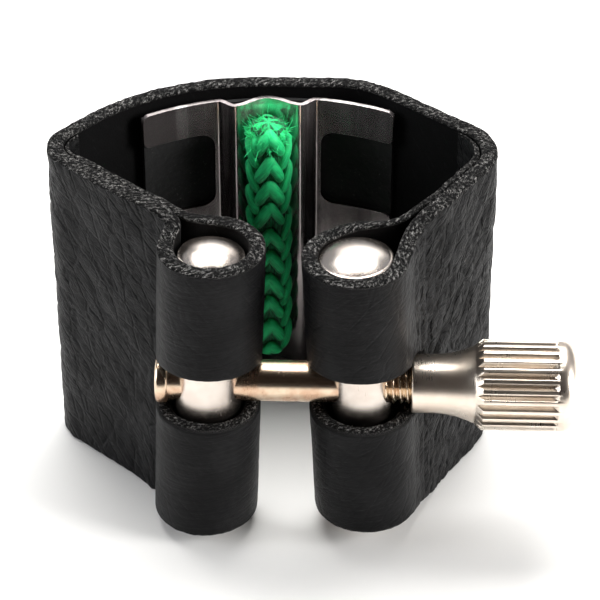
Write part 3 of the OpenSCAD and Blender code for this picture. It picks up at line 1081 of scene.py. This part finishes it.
@dataclass
class ClampBolt:
    """The headed bolt with its rolled thread."""

    head_x: float = -7.9
    head_d: float = 4.1
    head_t: float = 1.1
    shank_d: float = 3.5
    length: float = 28.8
    thread_len: float = 14.4
    pitch: float = 0.6
    thread_depth: float = 0.3
    columns: int = 72
    rows_per_turn: int = 12

    def build(self, material: bpy.types.Material) -> None:
        """Makes the bolt and dresses it.

        The thread is a helix: the radius falls in a triangle wave of (distance / pitch - angle /
        turn), which fades in over the first turn and out at the tip's chamfer.
        """
        hr, r, start = self.head_d / 2, self.shank_d / 2, self.length - self.thread_len
        g = np.linspace(0.0, np.pi / 2, 8)
        head = np.vstack([
            [[-self.head_t, 0.0], [-self.head_t, 0.7], [-self.head_t + 0.02, hr - 0.55]],
            np.stack([-self.head_t + 0.35 - 0.33 * np.cos(g), hr - 0.5 + 0.5 * np.sin(g)], axis=1),
            [[-0.16, hr], [-0.08, hr - 0.05], [0.0, hr - 0.14], [0.0, r + 0.02], [0.06, r]]])
        shank = np.stack([np.linspace(0.3, start, 40), np.full(40, r)], axis=1)
        turns = (self.thread_len - 0.3) / self.pitch
        xs = np.linspace(start, self.length - 0.3, int(turns * self.rows_per_turn))[1:]
        thread = np.stack([xs, np.full_like(xs, r)], axis=1)
        tip = np.array([[self.length - 0.15, r - 0.32], [self.length, r - 0.5], [self.length, 0.0]])
        profile = np.vstack([head, shank, thread, tip])
        angle = np.linspace(0.0, 2.0 * np.pi, self.columns + 1)[None, :]
        x, radius = profile[:, :1] + 0.0 * angle, profile[:, 1:] + 0.0 * angle
        phase = (x / self.pitch - angle / (2.0 * np.pi)) % 1.0
        tooth = np.clip(1.35 * np.abs(2.0 * phase - 1.0) - 0.12, 0.0, 1.0)
        share = smoothstep(start, start + self.pitch, x) * (x < self.length - 0.2)
        radius = radius - self.thread_depth * share * (1.0 - tooth)
        points = along_bolt(np.stack([self.head_x + x, radius, angle + 0.0 * x], axis=-1))
        uv = np.stack([x, angle * r + 0.0 * x], axis=-1)
        shape = Surface.grid(points, uv, flip=True)
        dressed(shape.mesh_object("clamp_bolt_metal", material, 40.0), Body.ROOT, "bolt_metal", "clamp_bolt")


@dataclass
class ThumbNut:
    """The blind thumb nut: a flared neck, a knurled grip and a rounded end."""

    x: float = 12.52
    length: float = 13.8
    neck_r: float = 2.48
    grip_r: float = 3.825
    grip_start: float = 5.3
    grip_len: float = 6.9
    ridges: int = 26
    ridge_depth: float = 0.42
    groove_share: float = 0.62
    flare_gap: float = 0.1
    flare_slope: float = 0.85
    runout_len: float = 0.55
    runout_slope: float = 0.75
    bore_r: float = 1.8
    bore_len: float = 11.6
    end_r: float = 2.3
    samples: int = 14

    def profile(self) -> Array:
        """Distance and radius: bore's bottom, bore, mouth, neck, flare, grip and rounded end."""
        root = self.grip_r - self.ridge_depth
        bore = np.array([[self.bore_len, 0.0], [self.bore_len - 0.8, self.bore_r], [0.25, self.bore_r],
                         [0.0, self.bore_r + 0.22]])
        g = np.linspace(0.0, np.pi / 2, 5)
        mouth = np.stack([0.16 - 0.16 * np.cos(g), self.neck_r - 0.16 + 0.16 * np.sin(g)], axis=1)
        u = np.linspace(0.0, 1.0, 22)[1:]
        flare = np.stack([1.5 + (self.grip_start - 1.5) * u,
                          self.neck_r + (root - self.flare_gap - self.neck_r) * u ** 2.2], axis=1)
        low, high = self.grip_start, self.grip_start + self.grip_len
        grip_x = np.concatenate([
            np.linspace(low + 0.02, low + 0.7, 14), np.linspace(low + 0.8, high - 0.8, 30),
            np.linspace(high - 0.7, high - 0.02, 14)])
        grip = np.stack([grip_x, np.full_like(grip_x, self.grip_r)], axis=1)
        h = np.linspace(0.0, np.pi / 2, 16)
        end_x = high + 0.3
        end = np.stack([end_x + (self.length - end_x) * np.sin(h),
                        self.end_r + (self.grip_r - self.end_r) * np.cos(h)], axis=1)
        return np.vstack([bore, mouth, flare, grip, end, [[self.length, 1.2], [self.length, 0.0]]])

    def build(self, material: bpy.types.Material) -> None:
        """Makes the nut and dresses it.

        On the grip the radius is a wave of V grooves round the axis. At the flare it is cut off by
        a cone and at the end the grooves run out, so that every ridge and every groove is pointed.
        """
        profile = self.profile()
        root = self.grip_r - self.ridge_depth
        low, high = self.grip_start, self.grip_start + self.grip_len
        angle = np.linspace(0.0, 2.0 * np.pi, self.ridges * self.samples + 1)[None, :]
        x, radius = profile[:, :1] + 0.0 * angle, profile[:, 1:] + 0.0 * angle
        wave = np.abs(((angle * self.ridges / (2.0 * np.pi)) % 1.0) * 2.0 - 1.0)
        ridge = root + self.ridge_depth * (1.0 - np.clip(1.0 - wave / self.groove_share, 0.0, 1.0))
        foot = root - self.flare_gap
        cone = np.maximum(foot + self.flare_slope * (x - low), foot)
        runout = np.minimum(root + self.runout_slope * (x - high + self.runout_len), self.grip_r)
        on_grip = (x > low) & (x < high) & (radius > root)
        radius = np.where(on_grip, np.maximum(np.minimum(ridge, cone), runout), radius)
        points = along_bolt(np.stack([self.x + x, radius, angle + 0.0 * x], axis=-1))
        uv = np.stack([x, angle * root + 0.0 * x], axis=-1)
        shape = Surface.grid(points, uv, flip=True)
        dressed(shape.mesh_object("thumb_nut_metal", material, 28.0), Body.THUMB_NUT,
                "nut_metal", "thumb_nut")


# ---------------------------------------------------------------- reed plate, backing and cord


@dataclass
class PlateFrame:
    """The reed plate's own frame: its bending axis, its turn and its lowest point."""

    x: float = 1.0
    y: float = -10.9
    z: float = 1.0
    turn: float = 3.8

    def place(self, points: Array) -> Array:
        """Points given in the plate's frame, in the model's frame."""
        c, s = math.cos(math.radians(self.turn)), math.sin(math.radians(self.turn))
        x, y = points[..., 0], points[..., 1]
        return np.stack([self.x + c * x - s * y, self.y + s * x + c * y, self.z + points[..., 2]], axis=-1)


@dataclass
class ReedPlate:
    """The bent sheet: a tall web with two ridges, and three rows of wings on each side."""

    frame: PlateFrame
    radius: float = 21.1
    thick: float = 0.4
    height: float = 28.2
    wing_angle: float = 31.0
    wing_h: float = 3.25
    wing_pitch: float = 10.7
    top_wing: float = 26.575
    web_w: float = 9.4
    fillet: float = 1.2
    tip_r: float = 0.6
    roll_r: float = 0.07
    ridge_pitch: float = 6.0
    ridge_h: float = 1.1
    ridge_w: float = 1.3
    rows: int = 3

    def ridge(self, u: Array) -> Array:
        """How far the sheet stands out from the wings' arc, at a distance u from its middle."""
        a, c = np.abs(u), self.ridge_pitch / 2
        outside = np.where(a > c + self.ridge_w, 0.0,
                           self.ridge_h * (1.0 + np.cos(np.pi * (a - c) / self.ridge_w)) / 2)
        return np.where(a > c, outside, self.ridge_h * (1.0 - np.cos(np.pi * a / c)) / 2)

    def bent(self, u: Array, z: Array) -> Array:
        """The sheet's middle at the distance u across and the height z."""
        g = np.arcsin(u / self.radius)
        r = self.radius + self.thick / 2 - self.ridge(u)
        return self.frame.place(np.stack([r * np.sin(g), r * np.cos(g), z], axis=-1))

    def wing_levels(self, row: int) -> tuple[float, float, float, float]:
        """A wing's lower and upper edge where it is plain, and where its fillets meet the web."""
        middle = self.top_wing - row * self.wing_pitch
        low, high = middle - self.wing_h / 2, middle + self.wing_h / 2
        return low, high, low - self.fillet, high if row == 0 else high + self.fillet

    def build(self, material: bpy.types.Material) -> None:
        """Makes the sheet's middle as grids that share their edge points, then gives it thickness.

        A wing narrows from the web by a quarter circle at each inner corner and ends in two small
        rounded corners.
        """
        edge_u = self.web_w / 2
        tip_u = self.radius * math.sin(math.radians(self.wing_angle))
        levels, across = [0.0, self.height], np.linspace(0.0, 1.0, 13)
        for row in range(self.rows):
            _, _, low, high = self.wing_levels(row)
            levels.extend(low + (high - low) * across)
        gaps = sorted(set(np.round(levels, 6)))
        heights = np.unique(np.round(np.concatenate([
            np.linspace(a, b, max(2, int((b - a) / 0.5) + 1)) for a, b in zip(gaps, gaps[1:])]), 6))
        web_u = np.linspace(-edge_u, edge_u, 73)
        web, level = np.meshgrid(web_u, heights)
        parts = [Surface.grid(self.bent(web, level))]
        near = edge_u + self.fillet * (1.0 - np.cos(np.linspace(0.0, np.pi / 2, 9)))
        wing_u = np.concatenate([
            near, np.linspace(edge_u + self.fillet, tip_u - self.tip_r, 26)[1:],
            tip_u - self.tip_r + self.tip_r * np.sin(np.linspace(0.0, np.pi / 2, 7))[1:]])
        to_web = self.fillet - np.minimum(wing_u - edge_u, self.fillet)
        inner = self.fillet - np.sqrt(np.maximum(self.fillet ** 2 - to_web ** 2, 0.0))
        to_tip = np.clip(wing_u - tip_u + self.tip_r, 0.0, self.tip_r)
        outer = self.tip_r - np.sqrt(np.maximum(self.tip_r ** 2 - to_tip ** 2, 0.0))
        for row in range(self.rows):
            low, high, low_web, high_web = self.wing_levels(row)
            bottom = low - (low - low_web) / self.fillet * inner + outer
            top = high + (high_web - high) / self.fillet * inner - outer
            z = bottom[None, :] + (top - bottom)[None, :] * across[:, None]
            for side in (1.0, -1.0):
                u = side * wing_u[None, :] + 0.0 * z
                parts.append(Surface.grid(self.bent(u, z), flip=side < 0))
        sheet = Surface.joined(parts).mesh_object("reed_plate_metal", material, 40.0)
        solid = sheet.modifiers.new("Sheet", "SOLIDIFY")
        solid.thickness, solid.offset, solid.use_even_offset = self.thick * MM, 0.0, True
        bevel = sheet.modifiers.new("Rolled edge", "BEVEL")
        bevel.width, bevel.segments = self.roll_r * MM, 2
        bevel.limit_method, bevel.angle_limit = "ANGLE", math.radians(50)
        bevel.harden_normals = True
        dressed(sheet, Body.ROOT, "plate_metal", "reed_plate")


@dataclass
class PlateBacking:
    """The suede sheet behind the wings."""

    plate: ReedPlate
    thick: float = 0.46
    clear: float = 0.03
    short_angle: float = 0.7
    short_top: float = 0.5

    def build(self, material: bpy.types.Material) -> None:
        """Makes the sheet and dresses it: an arc behind the wings, roughened by noise on its nap."""
        reach = math.radians(self.plate.wing_angle - self.short_angle)
        g = np.linspace(-reach, reach, 161)[None, :]
        z = np.linspace(0.0, self.plate.height - self.short_top, 181)[:, None]
        front = self.plate.radius + self.plate.thick + self.clear
        nap = 0.05 * (1.0 - soft_noise(g * front / 0.35, z / 0.35, 81))
        near, far = (
            self.plate.frame.place(np.stack([r * np.sin(g), r * np.cos(g), z + 0.0 * g], axis=-1))
            for r in (front + 0.1 - nap, front + self.thick + 0.0 * z))
        parts = [Surface.grid(near, flip=True), Surface.grid(far)]
        for k, flip in ((0, False), (-1, True)):
            parts.append(Surface.grid(np.stack([near[k], far[k]]), flip=flip))
            parts.append(Surface.grid(np.stack([near[:, k], far[:, k]]), flip=not flip))
        dressed(Surface.joined(parts).mesh_object("plate_backing_suede", material, 60.0), Body.ROOT,
                "suede", "plate_backing")


@dataclass
class BraidedCord:
    """The green cord: columns of plump strands that meet in upward points, and a frayed top."""

    plate: ReedPlate
    d: float = 4.2
    core_r: float = 1.5
    length: float = 24.6
    z: float = 2.7
    columns: int = 4
    row_pitch: float = 2.5
    strand_len: float = 2.75
    strand_w: float = 1.4
    strand_t: float = 1.05
    strand_dive: float = 0.34
    tuft_r: float = 1.72
    tuft_h: float = 2.2
    hairs: int = 420
    hair_r: float = 0.028
    hair_len: tuple[float, float] = (0.25, 0.85)
    hair_side: float = -0.9
    seed: int = 7

    @property
    def centre_y(self) -> float:
        """The cord's axis, in the plate's frame."""
        return self.plate.radius - self.d / 2 - 0.12

    def on_cord(self, angle: Array, radius: Array, z: Array) -> Array:
        """Points round the cord's axis, with angle 0 at its front."""
        return self.plate.frame.place(np.stack([
            radius * np.sin(angle), self.centre_y - radius * np.cos(angle), self.z + z], axis=-1))

    def strands(self) -> Surface:
        """Every strand as a tube along a slanted line on the cord.

        A strand starts at the middle of its column, slants down to the column's border and dives
        under its neighbour. Its section is an ellipse, full for most of the way and small at both ends.
        """
        rng = np.random.default_rng(self.seed)
        rows = int(self.length / self.row_pitch) + 1
        column, row, side = np.meshgrid(np.arange(self.columns), np.arange(rows), [-1.0, 1.0], indexing="ij")
        column, row, side = (v.reshape(-1, 1, 1) for v in (column, row, side))
        jitter = rng.normal(0.0, 1.0, (5, len(column), 1, 1))
        a = np.concatenate([[0.0], np.linspace(0.0, 1.0, 15), [1.0]])[None, :, None]
        b = np.linspace(0.0, 2.0 * np.pi, 17)[None, None, :]
        spread = 2.0 * np.pi / self.columns
        top = self.length - 0.35 - (row + 0.5 * (column % 2)) * self.row_pitch + 0.12 * jitter[0]
        reach = self.strand_len * (1.0 + 0.05 * jitter[1])
        angle = column * spread + 0.05 + side * spread * (-0.09 + 0.64 * a) + 0.035 * jitter[2]
        size = np.sqrt(1.0 - 0.92 * np.abs(2.0 * a - 1.0) ** 5)
        size[:, [0, -1]] = 0.0
        slant = math.atan2(0.45 * spread * self.d / 2, self.strand_len)
        across = self.strand_w / 2 * size * (1.0 + 0.08 * jitter[3]) * np.cos(b)
        out = self.strand_t / 2 * size * np.sin(b)
        z = np.clip(top - reach * a + across * side * math.sin(slant), 0.12, self.length - 0.05)
        dive = self.strand_dive * np.clip(a - 0.35, 0.0, 1.0)
        middle = self.d / 2 - self.strand_t / 2 + 0.03 * jitter[4] - dive
        close = np.clip(z - self.length + 1.2, 0.0, 1.0) ** 2 + np.clip(1.0 - z, 0.0, 1.0) ** 2
        radius = np.clip(middle + out, 0.3, self.d / 2 + 0.05) * np.sqrt(1.0 - 0.5 * close)
        points = self.on_cord(angle + across * math.cos(slant) / (self.d / 2), radius, z)
        uv = np.stack(np.broadcast_arrays(a * self.strand_len + jitter[0] * 9.0, b * 0.5 + 0.0 * z), axis=-1)
        # Painted light and shade: each strand is lighter on its outward top and upper edge, and darker on its
        # lower edge and towards the end that dives under its neighbour.
        depth = np.clip(0.42 + 0.6 * np.sin(b) + 0.2 * side * np.cos(b) - 0.36 * a, 0.0, 1.0) + 0.0 * z
        shown = (top > 0.9).reshape(-1)
        return Surface.joined([Surface.grid(p, t, flip=True, depth=v)
                               for p, t, v in zip(points[shown], uv[shown], depth[shown])])

    def tuft(self) -> Surface:
        """The lumpy top where the yarns are cut: a dome whose radius sums three twisted cosines."""
        angle = np.linspace(0.0, 2.0 * np.pi, 97)[None, :]
        rise = np.linspace(0.0, 1.0, 40)[:, None]
        lumps = (0.09 * np.cos(3.0 * angle + 1.0 + 3.0 * rise) + 0.08 * np.cos(5.0 * angle - 1.7 - 4.0 * rise)
                 + 0.06 * np.cos(11.0 * angle + 6.0 * rise))
        radius = self.tuft_r * np.sqrt(np.clip(1.0 - rise ** 3, 0.0, 1.0)) * (1.0 + lumps)
        z = self.length - self.tuft_h + rise * 2.0 + 0.8 * lumps * rise * (1.0 - rise)
        radius, z = np.vstack([0.0 * angle, radius]), np.vstack([z[:1] + 0.0 * angle, z])
        # Painted shade: the lumps are lighter and the hollows between them darker.
        depth = np.clip(0.55 + 3.2 * np.vstack([lumps[:1], lumps]), 0.0, 1.0)
        uv = np.stack([z * 1.5 + 0.0 * angle, angle * 1.7 + 0.0 * z], axis=-1)
        return Surface.grid(self.on_cord(angle + 0.0 * z, radius, z), uv, flip=True, depth=depth)

    def fray(self) -> Surface:
        """Loose filaments on the top: each is a thin tube that leaves the dome and curls over.

        A filament's middle is its root, plus its direction times the way along it, plus a bend
        that grows with the square of the way along it.
        """
        rng = np.random.default_rng(self.seed + 1)
        n = self.hairs
        angle = rng.vonmises(self.hair_side, 0.55, n)
        rise = rng.uniform(0.0, 1.0, n) ** 0.7
        dome_r = 1.75 * np.sqrt(1.0 - 0.8 * rise ** 3)
        root = self.on_cord(angle, dome_r, self.length - self.tuft_h + 1.9 * rise)
        middle = self.on_cord(np.zeros(n), np.zeros(n), self.length - 2.4 + 0.0 * rise)
        away = root - middle
        away /= np.linalg.norm(away, axis=1, keepdims=True)
        aim = away + rng.normal(0.0, 0.65, (n, 3))
        aim /= np.linalg.norm(aim, axis=1, keepdims=True)
        bend = rng.normal(0.0, 0.55, (n, 3)) - np.array([0.0, 0.0, 0.25])
        reach = rng.uniform(*self.hair_len, (n, 1, 1))
        a = np.linspace(0.0, 1.0, 8)[None, :, None]
        line = root[:, None] - 0.1 * away[:, None] + reach * (a * aim[:, None] + a ** 2 * bend[:, None])
        first = np.cross(aim, [0.31, 0.52, 0.8])
        first /= np.linalg.norm(first, axis=1, keepdims=True)
        second = np.cross(aim, first)
        b = np.linspace(0.0, 2.0 * np.pi, 5)
        ring = first[:, None, None] * np.cos(b)[:, None] + second[:, None, None] * np.sin(b)[:, None]
        width = self.hair_r * np.array([0.0, 1.0, 1.0, 0.95, 0.9, 0.8, 0.65, 0.0])[None, :, None, None]
        points = line[:, :, None] + width * ring
        # Each filament's share of the painted light, a little different for each and mostly lit.
        light = 0.75 + 0.5 * rng.uniform(0.0, 1.0, n)
        return Surface.joined([Surface.grid(p, flip=True, depth=np.full(p.shape[:2], v))
                               for p, v in zip(points, light)])

    def filling(self) -> Surface:
        """The straight yarns under the braid: a lobed closed tube."""
        angle = np.linspace(0.0, 2.0 * np.pi, 73)[None, :]
        level = np.concatenate([[0.1], np.linspace(0.1, self.length - 0.5, 60), [self.length - 0.5]])[:, None]
        shape = np.ones(62)[:, None]
        shape[[0, -1]] = 0.0
        radius = (self.core_r + 0.07 * np.cos(9.0 * angle)) * shape
        uv = np.stack([level + 0.0 * angle, angle * 1.2 + 0.0 * level], axis=-1)
        # depth 0.22 paints the filling dark: painted shade under the strands.
        return Surface.grid(self.on_cord(angle, radius, level + 0.0 * angle), uv, flip=True,
                            depth=0.22 + 0.0 * radius)

    def build(self, material: bpy.types.Material) -> None:
        """Makes the braid with its frayed top and its filling and dresses them."""
        braid = Surface.joined([self.strands(), self.tuft(), self.fray()])
        dressed(braid.mesh_object("cord_braid", material, 180.0), Body.ROOT, "cord", "cord_sheath")
        filling = self.filling().mesh_object("cord_filling", material, 180.0)
        dressed(filling, Body.ROOT, "cord_yarn", "cord_core")


# ---------------------------------------------------------------- studio


@dataclass(frozen=True)
class Softbox:
    """A rectangular area light: place, target and size in millimetres, power in watts."""

    name: str
    place: tuple[float, float, float]
    target: tuple[float, float, float]
    size: tuple[float, float]
    power: float
    colour: Colour

    def build(self) -> None:
        """Makes the light and turns it to its target."""
        data = bpy.data.lights.new(self.name, "AREA")
        data.shape = "RECTANGLE"
        data.size, data.size_y = self.size[0] * MM, self.size[1] * MM
        data.energy, data.color = self.power, self.colour
        made = bpy.data.objects.new(self.name, data)
        look = Vector(self.target) - Vector(self.place)
        turn = look.to_track_quat("-Z", "Y").to_matrix().to_4x4()
        made.matrix_world = Matrix.Translation(Vector(self.place) * MM) @ turn
        bpy.context.scene.collection.objects.link(made)


SOFTBOXES = (
    Softbox("overhead", (-20.0, 150.0, 410.0), (0.0, 0.0, 10.0), (340.0, 230.0), 2.75, (1.0, 0.985, 0.955)),
    Softbox("back", (30.0, 390.0, 310.0), (0.0, 0.0, 20.0), (400.0, 170.0), 0.5, (1.0, 0.98, 0.95)),
    Softbox("left", (-420.0, -40.0, 150.0), (0.0, 0.0, 15.0), (220.0, 260.0), 1.3, (0.97, 0.985, 1.0)),
    Softbox("right", (430.0, -120.0, 170.0), (0.0, 0.0, 15.0), (160.0, 220.0), 2.8, (1.0, 0.985, 0.96)),
)


@dataclass
class Studio:
    """A pale floor, the room's glow and the camera. Its place and sizes are in millimetres."""

    aim: tuple[float, float, float] = (3.16, -12.0, 23.38)
    distance: float = 206.16
    elevation: float = 35.85
    yaw: float = 1.73
    roll: float = -0.0748
    lens: float = 150.75
    sensor: float = 36.0
    dark_side: tuple[float, float, float] = (0.05, -0.85, 0.52)
    glow: Colour = (0.92, 0.94, 1.0)
    gloom: Colour = (0.05, 0.035, 0.03)
    glow_strength: float = 0.3

    def camera(self) -> None:
        """Puts the camera on a sphere round its aim and points it there."""
        e, w = math.radians(self.elevation), math.radians(self.yaw)
        back = Vector((math.sin(w) * math.cos(e), -math.cos(w) * math.cos(e), math.sin(e)))
        data = bpy.data.cameras.new("camera")
        data.lens, data.sensor_width = self.lens, self.sensor
        data.clip_start, data.clip_end = 0.01, 10.0
        made = bpy.data.objects.new("camera", data)
        turn = (-back).to_track_quat("-Z", "Y").to_matrix().to_4x4()
        place = Matrix.Translation((Vector(self.aim) + back * self.distance) * MM)
        made.matrix_world = place @ turn @ Matrix.Rotation(math.radians(-self.roll), 4, "Z")
        bpy.context.scene.collection.objects.link(made)
        bpy.context.scene.camera = made

    def room(self) -> None:
        """The room's glow: pale all round, dark behind the camera, so that metal shows dark bands."""
        world = bpy.data.worlds.new("room")
        g = Graph(world)
        ray = g.value(g.node("TexCoord"), "Generated")
        facing = g.value(g.node("VectorMath", {"operation": "DOT_PRODUCT"},
                                {0: ray, 1: self.dark_side}), "Value")
        glow = g.mixed(g.fade(facing, 0.2, 0.75), self.glow, self.gloom)
        back = g.node("Background", None, {"Color": glow, "Strength": self.glow_strength})
        g.node("OutputWorld", None, {"Surface": g.value(back)})
        bpy.context.scene.world = world

    def build(self) -> None:
        """Makes the floor, the lights, the room's glow and the camera."""
        edge = np.linspace(-1600.0, 1600.0, 5)
        x, y = np.meshgrid(edge, edge, indexing="ij")
        sweep = Surface.grid(np.stack([x, y, np.full_like(x, -0.02)], axis=-1))
        floor = sweep.mesh_object("floor", FloorFinish().material())
        for softbox in SOFTBOXES:
            softbox.build()
        self.room()
        bpy.context.scene.view_settings.view_transform = "Standard"
        self.camera()


def main() -> None:
    """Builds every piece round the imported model."""
    logging.basicConfig(level=logging.INFO, format="%(name)s: %(message)s")
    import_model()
    Studio().build()
    LeatherStrap().build(LeatherFinish().material())
    Posts().build(STEEL.material())
    ClampBolt().build(BRASS.material())
    ThumbNut().build(CHAMPAGNE.material())
    plate = ReedPlate(PlateFrame())
    plate.build(SHEET.material())
    PlateBacking(plate).build(SuedeFinish().material())
    BraidedCord(plate).build(YarnFinish().material())


if __name__ == "__main__":
    main()
